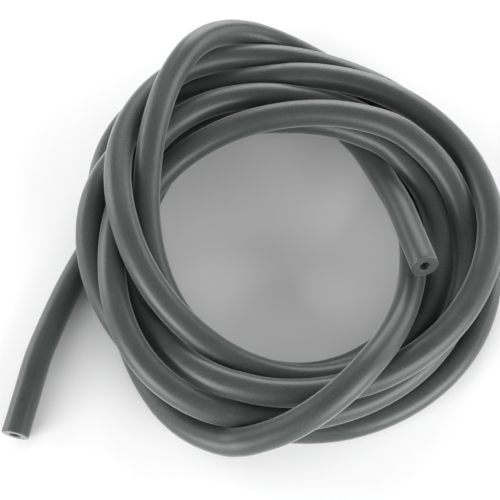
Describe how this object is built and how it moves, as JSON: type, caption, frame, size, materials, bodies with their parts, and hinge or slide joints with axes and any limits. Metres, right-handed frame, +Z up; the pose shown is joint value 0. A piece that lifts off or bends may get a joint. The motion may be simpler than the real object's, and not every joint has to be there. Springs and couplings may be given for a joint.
{
  "type": "coiled rubber tube",
  "caption": "Loose flat coil of thick-walled soft rubber tube with two plain cut, bored ends that take a push-in fitting or an outside clip.",
  "frame": {"origin": "middle of the whole piece's box, on the surface that the coil lies on; the middle of the coil is 10 mm along +X from it", "axes": "+Z up, square to the flat coil; +X across the coil, away from the outer end; -Y the side that the outer end points to"},
  "size_m": [0.186, 0.166, 0.0385],
  "materials": {
    "tube_rubber": "smooth satin, dark greenish grey"
  },
  "bodies": {
    "root": {"coil": "tube_rubber", "outer_tail": "tube_rubber", "outer_end": "tube_rubber", "inner_tail": "tube_rubber", "inner_end": "tube_rubber"}
  },
  "joints": []
}
